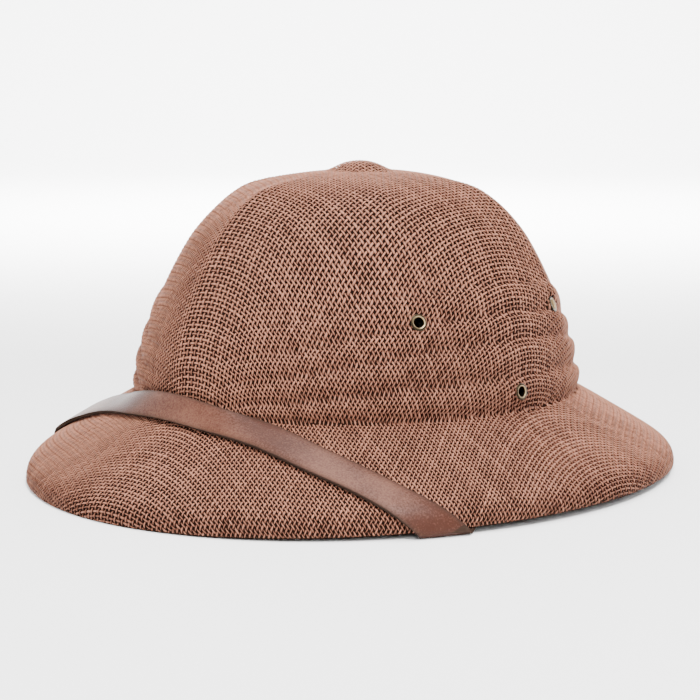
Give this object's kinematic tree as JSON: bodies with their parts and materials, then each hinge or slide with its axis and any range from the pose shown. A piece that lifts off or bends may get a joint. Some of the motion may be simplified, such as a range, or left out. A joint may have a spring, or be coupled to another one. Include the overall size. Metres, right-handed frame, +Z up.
{
  "type": "pith helmet",
  "caption": "Woven straw pith helmet with a pleated dome crown, a sloping brim, brass eyelets and a leather chin strap laid over the front.",
  "frame": {"origin": "middle of the helmet's box, at the height of the surface that its rim rests on", "axes": "+Z up along the crown; the front of the brim faces -Y; the wearer's left is +X"},
  "size_m": [0.2936, 0.326, 0.1471],
  "materials": {
    "straw": "reddish brown plain-woven straw, matt",
    "dark_backing": "dark brown stiffened cloth, matt",
    "leather": "smooth brown leather, satin",
    "brass": "antique brass, satin"
  },
  "bodies": {
    "root": {"straw_cover": "straw", "backing_crown": "dark_backing", "backing_brim": "dark_backing", "chin_strap": "leather", "eyelet_left_front": "brass", "eyelet_left_low": "brass", "eyelet_left_rear": "brass", "eyelet_right_front": "brass", "eyelet_right_low": "brass", "eyelet_right_rear": "brass"}
  },
  "joints": []
}
